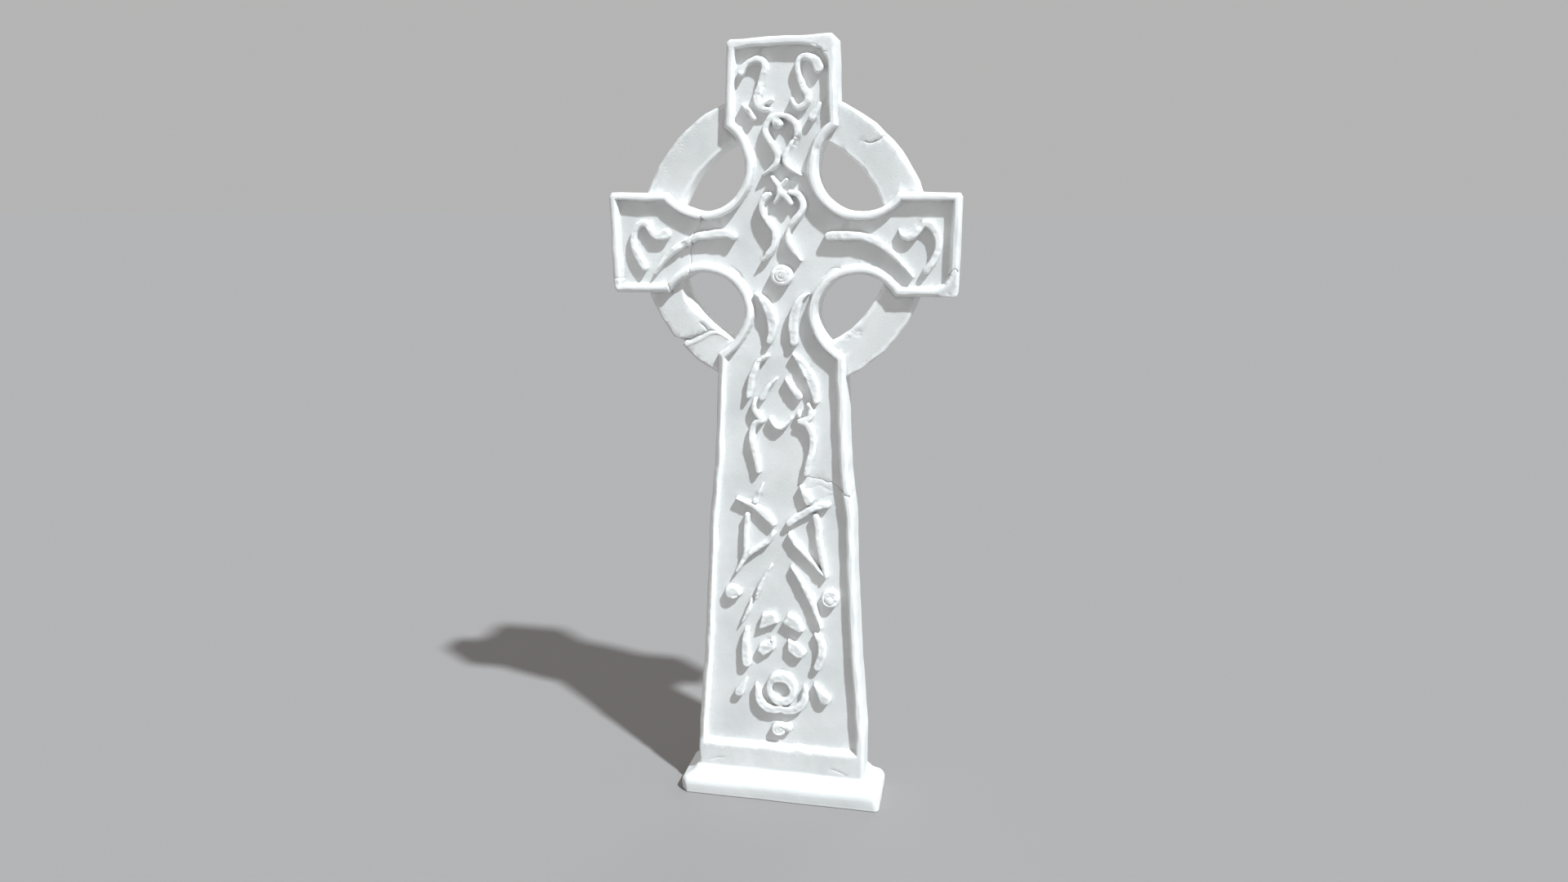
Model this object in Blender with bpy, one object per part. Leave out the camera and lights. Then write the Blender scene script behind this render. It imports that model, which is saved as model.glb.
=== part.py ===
# Ringed cross headstone: one carved stone standing on its own plinth stone.
# Metres, +Z up, carved face towards -Y, origin in the middle of the plinth's underside.

import math

import bmesh
import bpy

# The two stones
STONE_THICKNESS = 0.078      # front rim to back rim
JOINT_GAP = 0.0003           # bedding joint between plinth and cross

# Plinth
PLINTH_WIDTH = 0.418
PLINTH_DEPTH = 0.128
PLINTH_FACE_HEIGHT = 0.028   # upright faces, below the weathered slope
PLINTH_SEAT_HEIGHT = 0.050   # flat bed under the cross
PLINTH_CORNER_CUT = 0.006    # corner chamfer at the ground
PLINTH_CORNER_SPREAD = 0.006 # how much wider that chamfer is at the top of the face
PLINTH_EDGE_ROUND = 0.004    # softened edge above the upright faces
SEAT_MARGIN = 0.003          # bed past the foot of the cross, each side

# Shaft
FOOT_HALF_WIDTH = 0.174
SHAFT_TOP_HALF_WIDTH = 0.123
SHAFT_SHOULDER_DROP = 0.205  # ring centre down to the top of the shaft's sides

# Ring
RING_CENTRE_RISE = 1.0797     # foot of the cross up to the middle of the ring
RING_INNER_RADIUS = 0.203
RING_OUTER_RADIUS = 0.277
RING_THICKNESS = 0.045
RING_OUTER_CUT = 0.008
RING_INNER_CUT = 0.004
RING_STEPS = 60

# Arms and head, measured from the middle of the ring
ARM_LENGTH = 0.331           # middle line to the end of an arm
HEAD_RISE = 0.370
ARM_END_LEAN = 0.006         # how much shorter an arm is along its lower edge
ARM_RISE = 0.095
ARM_DROP = 0.092
ARM_SHOULDER_ACROSS = 0.216  # where an arm's straight edges begin
HEAD_HALF_WIDTH = 0.105      # at the head's shoulders
HEAD_TOP_HALF_WIDTH = 0.098
HEAD_SHOULDER_RISE = 0.212
HEAD_TOP_DROP = 0.006        # the top slopes down this much to the left
CORNER_ROUND = 0.008
CORNER_STEPS = 3
SHOULDER_STEPS = 5           # straight stretches in each curve of the outline
ARMPIT_STEPS = 8

# Where the curves between shoulders and narrow places bend, as a share of the way there
SHAFT_BEND = 0.42
ARM_BEND = 0.62
HEAD_BEND = 0.63

# Armpits: the narrowest places of the neck and of the arms
NECK_HALF_WIDTH = 0.0665
NECK_RISE = 0.138
WAIST_HALF_WIDTH = 0.069
WAIST_DROP = 0.125
ARM_NARROW_ACROSS = 0.148
ARM_NARROW_RISE = 0.0605
ARM_NARROW_DROP = 0.053

# Rim and sunk panels
EDGE_ROUND = 0.0075          # softened outer edge of the rim
RIM_WIDTH = 0.0125           # outer edge to the inside of the rim's crest
PANEL_SLOPE = 0.005          # how far the wall of the panel leans in
PANEL_DEPTH = 0.015
BACK_PANEL_DEPTH = 0.010
PLAIN_BAND_HEIGHT = 0.0537   # plain band from the foot of the cross up to the sill's crest
SILL_SLOPE = 0.015           # height of the slope from that crest down to the panel

# Carving
STRAND_WIDTH = 0.012         # an ordinary strand
RELIEF_HEIGHT = 0.0135       # strands above the floor of the panel
RELIEF_ROOT = 0.003          # how far each strand's root runs into the stone
STRAND_PITCH = 0.0135        # distance between a strand's cross-sections
BOSS_STEPS = 12
SHARP_ANGLE = math.radians(32)

FOOT_HEIGHT = PLINTH_SEAT_HEIGHT + JOINT_GAP
RING_CENTRE_HEIGHT = FOOT_HEIGHT + RING_CENTRE_RISE
SILL_HEIGHT = FOOT_HEIGHT + PLAIN_BAND_HEIGHT
SHAFT_SHOULDER_HEIGHT = RING_CENTRE_HEIGHT - SHAFT_SHOULDER_DROP
PANEL_FOOT_HEIGHT = SILL_HEIGHT + SILL_SLOPE
FRONT_CREST = -STONE_THICKNESS / 2
FRONT_FLOOR = FRONT_CREST + PANEL_DEPTH
BACK_CREST = STONE_THICKNESS / 2
BACK_FLOOR = BACK_CREST - BACK_PANEL_DEPTH

# Taper of the shaft: share of the way up, share of the narrowing done there
SHAFT_TAPER = (
    (0.00, 0.00), (0.06, 0.00), (0.18, 0.12), (0.29, 0.28), (0.41, 0.39), (0.53, 0.49),
    (0.64, 0.60), (0.72, 0.75), (0.81, 0.86), (0.90, 0.93), (1.00, 1.00),
)

# The carving is drawn in small units, x from the middle line and z from the ground, on three
# fields of the stone: (height on the stone, its height on the drawing, scale across, scale up).
FIELDS = {
    "head": (RING_CENTRE_HEIGHT, 1130, HEAD_HALF_WIDTH / 105, HEAD_RISE / 370),
    "arm": (RING_CENTRE_HEIGHT, 1130, ARM_LENGTH / 331, ARM_RISE / 95),
    "shaft": (PANEL_FOOT_HEIGHT, 119, FOOT_HALF_WIDTH / 174,
              (RING_CENTRE_HEIGHT - PANEL_FOOT_HEIGHT) / 1011),
}
WIDTH_SCALE = STRAND_WIDTH / 12   # an ordinary strand is drawn 12 units wide

# Strands on both sides of the middle line: field, control points, then widths spread along them
STRANDS = {
    "head_crook": ("head", ((68, 1442), (59, 1455), (44, 1460), (32, 1454), (31, 1440), (38, 1416),
                    (46, 1394), (45, 1381), (34, 1376), (23, 1380), (19, 1390)), (14, 11, 11, 11, 8)),
    "head_tick": ("head", ((68, 1381), (60, 1369), (50, 1355)), (9, 11, 9)),
    "loop": ("head", ((0, 1361), (17, 1357), (28, 1345), (29, 1331), (22, 1316), (12, 1302), (7, 1288),
              (9, 1276), (21, 1267), (37, 1256)), (12, 12, 12, 11, 5)),
    "knot_cross": ("head", ((14, 1250), (4, 1239), (-2, 1226), (-13, 1207)), (7, 9, 9, 7)),
    "knot_loop": ("head", ((19, 1224), (32, 1219), (38, 1204), (37, 1187), (30, 1172), (17, 1158),
                   (12, 1144), (15, 1129), (26, 1113), (38, 1101)), (12, 12, 12, 11, 4)),
    "petal": ("shaft", ((51, 1040), (36, 1029), (26, 1007), (21, 984), (22, 964), (25, 950)),
              (5, 18, 20, 17, 13)),
    "arm_hook": ("arm", ((221, 1157), (231, 1147), (243, 1147), (254, 1158), (265, 1169), (277, 1164),
                  (286, 1147), (288, 1128), (280, 1104), (269, 1086)), (9, 14, 13, 14, 12)),
    "arm_bar": ("arm", ((90, 1146), (120, 1149), (147, 1147), (170, 1140), (190, 1129), (212, 1112),
                 (231, 1094), (246, 1076)), (15, 15, 13, 11, 5)),
    "outer_leaf": ("shaft", ((25, 923), (41, 911), (52, 895), (59, 876), (63, 857), (66, 838)),
                   (5, 11, 14, 8)),
    "inner_leaf": ("shaft", ((10, 878), (23, 861), (36, 843)), (4, 8, 11)),
    "knuckle": ("shaft", ((54, 830), (56, 815), (47, 804), (37, 797)), (9, 11, 9)),
    "smile": ("shaft", ((0, 785), (12, 790), (22, 803)), (8, 8, 6)),
    "long_bar": ("shaft", ((36, 797), (51, 790), (60, 773), (59, 752), (56, 733), (51, 713), (48, 694)),
                 (11, 12, 12, 10)),
    "triangle_bar": ("shaft", ((91, 634), (67, 627), (48, 616), (31, 604), (16, 589)), (9, 13, 14, 12)),
    "triangle_spur": ("shaft", ((38, 667), (46, 652), (53, 638)), (5, 10, 13)),
    "triangle_upright": ("shaft", ((69, 605), (73, 575), (76, 545), (81, 514), (90, 486)), (11, 11, 11, 8)),
    "triangle_brace": ("shaft", ((18, 568), (28, 551), (46, 533), (65, 516), (87, 489)), (12, 11, 9, 6)),
    "long_leaf": ("shaft", ((21, 501), (36, 477), (49, 453), (63, 427), (72, 404), (81, 376)),
                  (4, 11, 13, 5)),
    "short_bar": ("shaft", ((71, 362), (79, 341), (79, 315), (72, 286)), (9, 13, 18)),
    "cup": ("shaft", ((50, 243), (50, 222), (42, 204), (28, 194), (13, 193), (-2, 196)), (4, 13, 15, 15)),
    "drop": ("shaft", ((70, 253), (80, 237), (91, 221)), (5, 14, 20)),
}

# Small flat-topped blocks, also on both sides: field, corners
BLOCKS = {
    "upper_block": ("shaft", ((4, 382), (13, 402), (36, 396), (49, 366), (40, 363))),
    "lower_block": ("shaft", ((14, 324), (14, 347), (36, 337), (51, 321), (45, 310), (34, 308))),
}

# Domes: field, middle, half width, half height, and whether there is one on each side
BOSSES = {
    "loop_boss": ("head", (0, 1344), 8, 8, False),
    "centre_boss": ("head", (2, 1074), 22, 19, False),
    "side_boss": ("shaft", (99, 441), 18, 16, True),
    "foot_boss": ("shaft", (-4, 148), 15, 15, False),
    "foot_lobe": ("shaft", (15, 152), 10, 9, False),
}

# Egg-shaped eye above the foot boss: field, middle, half width, half height, width of its strand
EYE = ("shaft", (1, 238), 25, 29, 14)
EYE_STEPS = 18

# Cross-section of a strand: share of its half width, share of its height
STRAND_SECTION = ((-1.08, 0.0), (-0.86, 0.66), (-0.42, 1.0), (0.42, 1.0), (0.86, 0.66), (1.08, 0.0))
TIP_REACH = 0.30             # a strand's rounded ends, as shares of its width and height there
TIP_WIDTH = 0.50
TIP_HEIGHT = 0.72

# Profiles of a boss and a block: share of the spread, share of the height
BOSS_PROFILE = ((1.03, 0.0), (0.96, 0.45), (0.76, 0.82), (0.42, 1.0))
BLOCK_PROFILE = ((1.04, 0.0), (0.96, 0.70), (0.72, 0.95))


def clear_scene():
    for item in list(bpy.data.objects):
        bpy.data.objects.remove(item, do_unlink=True)


def mix(a, b, share):
    return a + (b - a) * share


def look_up(table, share):
    """Value at share in a table of (share, value) rows, straight between rows."""
    for (low, low_value), (high, high_value) in zip(table, table[1:]):
        if share <= high:
            return mix(low_value, high_value, (share - low) / (high - low))
    return table[-1][1]


def bezier(start, bend, end, steps):
    """Points after start on a quadratic curve."""
    points = []
    for step in range(1, steps + 1):
        t = step / steps
        points.append(tuple(
            (1 - t) ** 2 * a + 2 * t * (1 - t) * b + t ** 2 * c
            for a, b, c in zip(start, bend, end)))
    return points


def quarter(centre, across, up, first_angle, last_angle, steps):
    """Points after the first on a quarter of an ellipse, angles in degrees."""
    points = []
    for step in range(1, steps + 1):
        angle = math.radians(mix(first_angle, last_angle, step / steps))
        points.append((centre[0] + across * math.cos(angle), centre[1] + up * math.sin(angle)))
    return points


def shaft_half_width(z):
    share = (z - FOOT_HEIGHT) / (SHAFT_SHOULDER_HEIGHT - FOOT_HEIGHT)
    narrowing = look_up(SHAFT_TAPER, min(max(share, 0.0), 1.0))
    return mix(FOOT_HALF_WIDTH, SHAFT_TOP_HALF_WIDTH, narrowing)


def half_outline(foot, top_drop):
    """Right half from the foot to the top, as (x, z, is_corner), with square corners."""
    ring = RING_CENTRE_HEIGHT
    points = []
    for share, _ in SHAFT_TAPER:
        z = mix(foot, SHAFT_SHOULDER_HEIGHT, share)
        points.append((shaft_half_width(z), z))

    waist = (WAIST_HALF_WIDTH, ring - WAIST_DROP)
    shaft_bend = (WAIST_HALF_WIDTH, mix(SHAFT_SHOULDER_HEIGHT, waist[1], SHAFT_BEND))
    points += bezier(points[-1], shaft_bend, waist, SHOULDER_STEPS)
    lower_middle = (ARM_NARROW_ACROSS, ring - WAIST_DROP)
    points += quarter(lower_middle, ARM_NARROW_ACROSS - WAIST_HALF_WIDTH,
                      WAIST_DROP - ARM_NARROW_DROP, 180, 90, ARMPIT_STEPS)
    lower_shoulder = (ARM_SHOULDER_ACROSS, ring - ARM_DROP)
    arm_bend = mix(ARM_NARROW_ACROSS, ARM_SHOULDER_ACROSS, ARM_BEND)
    lower_bend = (arm_bend, ring - ARM_NARROW_DROP)
    points += bezier(points[-1], lower_bend, lower_shoulder, SHOULDER_STEPS)

    arm_corners = [(ARM_LENGTH - ARM_END_LEAN, ring - ARM_DROP), (ARM_LENGTH, ring + ARM_RISE)]
    upper_shoulder = (ARM_SHOULDER_ACROSS, ring + ARM_RISE)
    narrow = (ARM_NARROW_ACROSS, ring + ARM_NARROW_RISE)
    upper = [upper_shoulder] + bezier(upper_shoulder, (arm_bend, narrow[1]), narrow, SHOULDER_STEPS)
    upper_middle = (ARM_NARROW_ACROSS, ring + NECK_RISE)
    upper += quarter(upper_middle, ARM_NARROW_ACROSS - NECK_HALF_WIDTH,
                     NECK_RISE - ARM_NARROW_RISE, 270, 180, ARMPIT_STEPS)
    head_shoulder = (HEAD_HALF_WIDTH, ring + HEAD_SHOULDER_RISE)
    head_bend = (NECK_HALF_WIDTH, mix(ring + NECK_RISE, head_shoulder[1], HEAD_BEND))
    upper += bezier(upper[-1], head_bend, head_shoulder, SHOULDER_STEPS)
    head_corner = (HEAD_TOP_HALF_WIDTH, ring + HEAD_RISE - top_drop)

    rows = [(x, z, False) for x, z in points]
    rows += [(x, z, True) for x, z in arm_corners]
    rows += [(x, z, False) for x, z in upper]
    rows.append((*head_corner, True))
    return rows


def offset(points, inset):
    """The closed outline moved inwards; points run anticlockwise seen from the front."""
    moved = []
    count = len(points)
    for index, (x, z, is_corner) in enumerate(points):
        before = points[index - 1]
        after = points[(index + 1) % count]
        normals = []
        for start, end in ((before, (x, z)), ((x, z), after)):
            dx = end[0] - start[0]
            dz = end[1] - start[1]
            length = math.hypot(dx, dz)
            normals.append((-dz / length, dx / length))
        (ax, az), (bx, bz) = normals
        reach = inset / (1 + ax * bx + az * bz)
        moved.append((x + (ax + bx) * reach, z + (az + bz) * reach, is_corner))
    return moved


def round_corners(points, radius):
    rounded = []
    count = len(points)
    for index, (x, z, is_corner) in enumerate(points):
        if not is_corner:
            rounded.append((x, z))
            continue
        ends = []
        for other in (points[index - 1], points[(index + 1) % count]):
            dx = other[0] - x
            dz = other[1] - z
            length = math.hypot(dx, dz)
            ends.append((x + dx / length * radius, z + dz / length * radius))
        rounded.append(ends[0])
        rounded += bezier(ends[0], (x, z), ends[1], CORNER_STEPS)
    return rounded


def outline(inset, foot):
    """Outline of the cross moved in by inset, its lower edge at the height foot."""
    right = half_outline(foot - inset, 0.0)
    left = [(-x, z, is_corner) for x, z, is_corner in reversed(half_outline(foot - inset, HEAD_TOP_DROP))]
    radius = CORNER_ROUND - 0.4 * inset
    return round_corners(offset(right + left, inset), radius)


def skin_loops(mesh, loops, close_ends=True, closed_along=False):
    """Faces between neighbouring loops of equally many points."""
    rows = [[mesh.verts.new(point) for point in loop] for loop in loops]
    pairs = list(zip(rows, rows[1:]))
    if closed_along:
        pairs.append((rows[-1], rows[0]))
    for low, high in pairs:
        count = len(low)
        for index in range(count):
            after = (index + 1) % count
            mesh.faces.new((low[index], low[after], high[after], high[index]))
    if close_ends and not closed_along:
        mesh.faces.new(list(reversed(rows[0])))
        mesh.faces.new(rows[-1])


def shade(data):
    data.shade_smooth()
    data.set_sharp_from_angle(angle=SHARP_ANGLE)


def finish_mesh(name, mesh, material=None, is_tool=False):
    bmesh.ops.recalc_face_normals(mesh, faces=mesh.faces)
    data = bpy.data.meshes.new(name)
    mesh.to_mesh(data)
    mesh.free()
    shade(data)
    item = bpy.data.objects.new(name, data)
    bpy.context.scene.collection.objects.link(item)
    if material:
        data.materials.append(material)
    if is_tool:
        item.hide_render = True
        item.display_type = 'WIRE'
    return item


def stone(name, colour, roughness):
    material = bpy.data.materials.new(name)
    material.use_nodes = True
    shader = material.node_tree.nodes["Principled BSDF"]
    shader.inputs["Base Color"].default_value = (*colour, 1.0)
    shader.inputs["Roughness"].default_value = roughness
    shader.inputs["Metallic"].default_value = 0.0
    return material


def make_body(material):
    """Slab of the cross with its rims and sunk panels, without ring or carving."""
    inner = RIM_WIDTH + PANEL_SLOPE
    rounding = [(0.0, EDGE_ROUND), (0.28, 0.30 * EDGE_ROUND), (1.0, 0.0)]
    sections = []
    for side, crest, floor in ((1, BACK_CREST, BACK_FLOOR), (-1, FRONT_CREST, FRONT_FLOOR)):
        rows = [(inset * EDGE_ROUND, crest - side * back, FOOT_HEIGHT) for inset, back in rounding]
        rows.append((RIM_WIDTH, crest, SILL_HEIGHT))
        rows.append((inner, floor, PANEL_FOOT_HEIGHT))
        sections.append(rows)
    back, front = sections
    rows = list(reversed(back)) + front

    mesh = bmesh.new()
    loops = [[(x, y, z) for x, z in outline(inset, foot)] for inset, y, foot in rows]
    skin_loops(mesh, loops)
    return finish_mesh("cross", mesh, material)


def make_ring():
    half = RING_THICKNESS / 2
    section = []
    for side in (-1, 1):
        corner_rows = (
            (RING_INNER_RADIUS, half - RING_INNER_CUT),
            (RING_INNER_RADIUS + RING_INNER_CUT, half),
            (RING_OUTER_RADIUS - RING_OUTER_CUT, half),
            (RING_OUTER_RADIUS, half - RING_OUTER_CUT),
        )
        rows = [(radius, side * y) for radius, y in corner_rows]
        section += rows if side < 0 else list(reversed(rows))
    loops = []
    for step in range(RING_STEPS):
        angle = math.tau * (step + 0.5) / RING_STEPS
        loops.append([
            (radius * math.cos(angle), y, RING_CENTRE_HEIGHT + radius * math.sin(angle))
            for radius, y in section])
    mesh = bmesh.new()
    skin_loops(mesh, loops, closed_along=True)
    return finish_mesh("ring_shape", mesh, is_tool=True)


def on_stone(field, x, z):
    """A point of the drawing on the stone."""
    height, drawn_height, scale_across, scale_up = FIELDS[field]
    return x * scale_across, height + (z - drawn_height) * scale_up


def smooth_line(controls, steps=8):
    """Points on a Catmull-Rom curve through the control points."""
    first = tuple(2 * a - b for a, b in zip(controls[0], controls[1]))
    last = tuple(2 * a - b for a, b in zip(controls[-1], controls[-2]))
    padded = [first, *controls, last]
    points = []
    for index in range(1, len(padded) - 2):
        a, b, c, d = padded[index - 1:index + 3]
        for step in range(steps):
            t = step / steps
            points.append(tuple(
                0.5 * (2 * q + (r - p) * t + (2 * p - 5 * q + 4 * r - s) * t ** 2
                       + (3 * q - p - 3 * r + s) * t ** 3)
                for p, q, r, s in zip(a, b, c, d)))
    points.append(controls[-1])
    return points


def even_line(points, pitch):
    """The same line with its points about one pitch apart."""
    marks = [0.0]
    for start, end in zip(points, points[1:]):
        marks.append(marks[-1] + math.dist(start, end))
    count = max(2, round(marks[-1] / pitch))
    columns = [list(zip(marks, axis)) for axis in zip(*points)]
    stops = [marks[-1] * step / count for step in range(count + 1)]
    return [tuple(look_up(column, stop) for column in columns) for stop in stops]


def directions(points, closed=False):
    """Unit direction of the line at each of its points."""
    result = []
    count = len(points)
    for index in range(count):
        if closed:
            before = points[index - 1]
            after = points[(index + 1) % count]
        else:
            before = points[max(index - 1, 0)]
            after = points[min(index + 1, count - 1)]
        dx = after[0] - before[0]
        dz = after[1] - before[1]
        length = math.hypot(dx, dz)
        result.append((dx / length, dz / length))
    return result


def relief_y(share):
    """Depth of a point of the carving: 0 is its root in the stone, 1 its crest."""
    root = FRONT_FLOOR + RELIEF_ROOT
    crest = FRONT_FLOOR - RELIEF_HEIGHT
    return mix(root, crest, share)


def strand_section(point, direction, width, height):
    loop = []
    for across, up in STRAND_SECTION:
        reach = across * width / 2
        x = point[0] - direction[1] * reach
        z = point[1] + direction[0] * reach
        loop.append((x, relief_y(up * height), z))
    return loop


def add_strand(mesh, field, controls, widths, side):
    points = even_line(smooth_line([on_stone(field, side * x, z) for x, z in controls]), STRAND_PITCH)
    headings = directions(points)
    last = len(points) - 1
    width_table = [
        (index / (len(widths) - 1), width * WIDTH_SCALE) for index, width in enumerate(widths)]

    def tip(index, out):
        width = widths[index] * WIDTH_SCALE
        dx, dz = headings[index]
        reach = out * TIP_REACH * width
        point = (points[index][0] + dx * reach, points[index][1] + dz * reach)
        return strand_section(point, headings[index], width * TIP_WIDTH, TIP_HEIGHT)

    loops = [tip(0, -1)]
    for index, (point, heading) in enumerate(zip(points, headings)):
        loops.append(strand_section(point, heading, look_up(width_table, index / last), 1.0))
    loops.append(tip(-1, 1))
    skin_loops(mesh, loops)


def add_block(mesh, field, corners, side):
    points = [on_stone(field, side * x, z) for x, z in corners]
    middle_x = sum(x for x, _ in points) / len(points)
    middle_z = sum(z for _, z in points) / len(points)
    loops = []
    for spread, up in BLOCK_PROFILE:
        loops.append([
            (mix(middle_x, x, spread), relief_y(up), mix(middle_z, z, spread)) for x, z in points])
    skin_loops(mesh, loops)


def oval(centre, half_width, half_height, steps):
    """Points round an upright oval."""
    points = []
    for step in range(steps):
        angle = math.tau * step / steps
        points.append((centre[0] + half_width * math.cos(angle), centre[1] + half_height * math.sin(angle)))
    return points


def add_boss(mesh, field, middle, half_width, half_height, side):
    centre = on_stone(field, side * middle[0], middle[1])
    loops = []
    for radius, up in BOSS_PROFILE:
        scale = radius * WIDTH_SCALE
        ring = oval(centre, half_width * scale, half_height * scale, BOSS_STEPS)
        loops.append([(x, relief_y(up), z) for x, z in ring])
    skin_loops(mesh, loops)


def add_eye(mesh):
    field, middle, half_width, half_height, width = EYE
    centre = on_stone(field, *middle)
    points = oval(centre, half_width * WIDTH_SCALE, half_height * WIDTH_SCALE, EYE_STEPS)
    headings = directions(points, closed=True)
    loops = [
        strand_section(point, heading, width * WIDTH_SCALE, 1.0)
        for point, heading in zip(points, headings)]
    skin_loops(mesh, loops, closed_along=True)


def make_carving():
    """All the relief as overlapping closed shapes, joined to the stone afterwards."""
    mesh = bmesh.new()
    for side in (-1, 1):
        for field, controls, widths in STRANDS.values():
            add_strand(mesh, field, controls, widths, side)
        for field, corners in BLOCKS.values():
            add_block(mesh, field, corners, side)
    for field, middle, half_width, half_height, is_pair in BOSSES.values():
        for side in (-1, 1) if is_pair else (1,):
            add_boss(mesh, field, middle, half_width, half_height, side)
    add_eye(mesh)
    return finish_mesh("carving_shape", mesh, is_tool=True)


def join_to(item, tools):
    """Union of the stone with shapes that overlap it, as one clean mesh."""
    for tool in tools:
        union = item.modifiers.new(tool.name, 'BOOLEAN')
        union.operation = 'UNION'
        union.solver = 'EXACT'
        union.object = tool
        union.use_self = True
    bpy.context.view_layer.update()
    evaluated = item.evaluated_get(bpy.context.evaluated_depsgraph_get())
    joined = bpy.data.meshes.new_from_object(evaluated)
    item.modifiers.clear()
    item.data = joined
    shade(joined)
    for tool in tools:
        bpy.data.objects.remove(tool, do_unlink=True)


def plinth_loop(half_width, half_depth, cut, z):
    """Rectangle with cut corners."""
    corners = ((1, -1), (1, 1), (-1, 1), (-1, -1))
    loop = []
    for index, (sx, sy) in enumerate(corners):
        along_x = (sx * (half_width - cut), sy * half_depth, z)
        along_y = (sx * half_width, sy * (half_depth - cut), z)
        loop += [along_x, along_y] if index % 2 == 0 else [along_y, along_x]
    return loop


def make_plinth(material):
    half_width = PLINTH_WIDTH / 2
    half_depth = PLINTH_DEPTH / 2
    seat_half_width = FOOT_HALF_WIDTH + SEAT_MARGIN
    seat_half_depth = STONE_THICKNESS / 2 + SEAT_MARGIN
    top_cut = PLINTH_CORNER_CUT + PLINTH_CORNER_SPREAD
    edge_height = PLINTH_FACE_HEIGHT + PLINTH_EDGE_ROUND
    loops = [
        plinth_loop(half_width, half_depth, PLINTH_CORNER_CUT, 0.0),
        plinth_loop(half_width, half_depth, top_cut, PLINTH_FACE_HEIGHT),
        plinth_loop(half_width - 0.35 * PLINTH_EDGE_ROUND, half_depth - 0.35 * PLINTH_EDGE_ROUND,
                    top_cut, PLINTH_FACE_HEIGHT + 0.6 * PLINTH_EDGE_ROUND),
        plinth_loop(half_width - PLINTH_EDGE_ROUND, half_depth - PLINTH_EDGE_ROUND, top_cut, edge_height),
    ]
    # The slope is a shallow cove: steeper near the cross
    for share, rise in ((0.5, 0.36), (0.82, 0.72), (1.0, 1.0)):
        loops.append(plinth_loop(
            mix(half_width - PLINTH_EDGE_ROUND, seat_half_width, share),
            mix(half_depth - PLINTH_EDGE_ROUND, seat_half_depth, share),
            mix(top_cut, SEAT_MARGIN, share),
            mix(edge_height, PLINTH_SEAT_HEIGHT, rise)))
    mesh = bmesh.new()
    skin_loops(mesh, loops)
    return finish_mesh("plinth", mesh, material)


def main():
    clear_scene()
    cross_stone = stone("carved_limestone", (0.78, 0.80, 0.79), 0.85)
    plinth_stone = stone("dressed_limestone", (0.80, 0.82, 0.81), 0.85)
    cross = make_body(cross_stone)
    join_to(cross, [make_ring(), make_carving()])
    make_plinth(plinth_stone)


main()
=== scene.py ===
# A ringed cross headstone of pale limestone on its plinth: carved surfaces, stone finish, light and camera.
import math

import bmesh
import bpy
import numpy as np
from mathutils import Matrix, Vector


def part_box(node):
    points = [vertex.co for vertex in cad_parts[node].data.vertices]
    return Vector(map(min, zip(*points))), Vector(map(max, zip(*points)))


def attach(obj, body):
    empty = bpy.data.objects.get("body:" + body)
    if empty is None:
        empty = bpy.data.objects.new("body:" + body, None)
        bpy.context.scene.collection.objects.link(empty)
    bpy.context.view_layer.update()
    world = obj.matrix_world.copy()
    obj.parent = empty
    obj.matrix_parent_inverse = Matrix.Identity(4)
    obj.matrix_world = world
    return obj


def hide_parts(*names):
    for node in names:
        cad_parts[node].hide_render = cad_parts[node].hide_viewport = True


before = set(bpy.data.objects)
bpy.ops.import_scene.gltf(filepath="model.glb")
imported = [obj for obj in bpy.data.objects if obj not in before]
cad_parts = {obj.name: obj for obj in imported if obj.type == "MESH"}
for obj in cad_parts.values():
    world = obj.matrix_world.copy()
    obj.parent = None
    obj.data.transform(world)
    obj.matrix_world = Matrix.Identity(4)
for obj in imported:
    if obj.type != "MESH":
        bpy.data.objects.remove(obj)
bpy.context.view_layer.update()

import openvdb
from mathutils import Vector

crossLow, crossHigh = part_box("cross")
plinthLow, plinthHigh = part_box("plinth")
mm = 0.001  # the frame is in metres, and the sizes below are in millimetres


# Shared shaping tools: a stone is a field of distances on a grid, below zero inside the stone

def roundedMax(a, b, radius):  # both at once, with a rounded outer edge
    bare = np.minimum(np.maximum(a, b), -radius)
    return bare + np.hypot(np.maximum(a + radius, 0), np.maximum(b + radius, 0))


def roundedMin(a, b, radius):  # either one, with a soft inner corner
    bare = np.maximum(np.minimum(a, b), radius)
    return bare - np.hypot(np.maximum(radius - a, 0), np.maximum(radius - b, 0))


def ripple(x, z, wave, seed, count=7):  # soft unevenness between about -1 and 1, from a few crossing waves
    rng = np.random.default_rng(seed)
    total = 0
    for _ in range(count):
        angle, phase = rng.uniform(0, math.tau, 2)
        pace = math.tau / (wave * rng.uniform(0.6, 1.6))
        total = total + np.sin(pace * (x * math.cos(angle) + z * math.sin(angle)) + phase)
    return total / math.sqrt(count) / 1.4


def curveThrough(points, step):  # smooth line through given points, with a point about every step
    p = np.array(points, float)
    p = np.vstack([2 * p[0] - p[1], p, 2 * p[-1] - p[-2]])
    line = []
    for a, b, c, d in zip(p, p[1:], p[2:], p[3:]):
        count = max(2, int(np.linalg.norm(c - b) / step))
        t = (np.arange(count) / count)[:, None]
        squared = (2 * a - 5 * b + 4 * c - d) * t ** 2
        cubed = (3 * b - a - 3 * c + d) * t ** 3
        line.append(0.5 * (2 * b + (c - a) * t + squared + cubed))
    return np.vstack(line + [p[-2:-1]])


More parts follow.
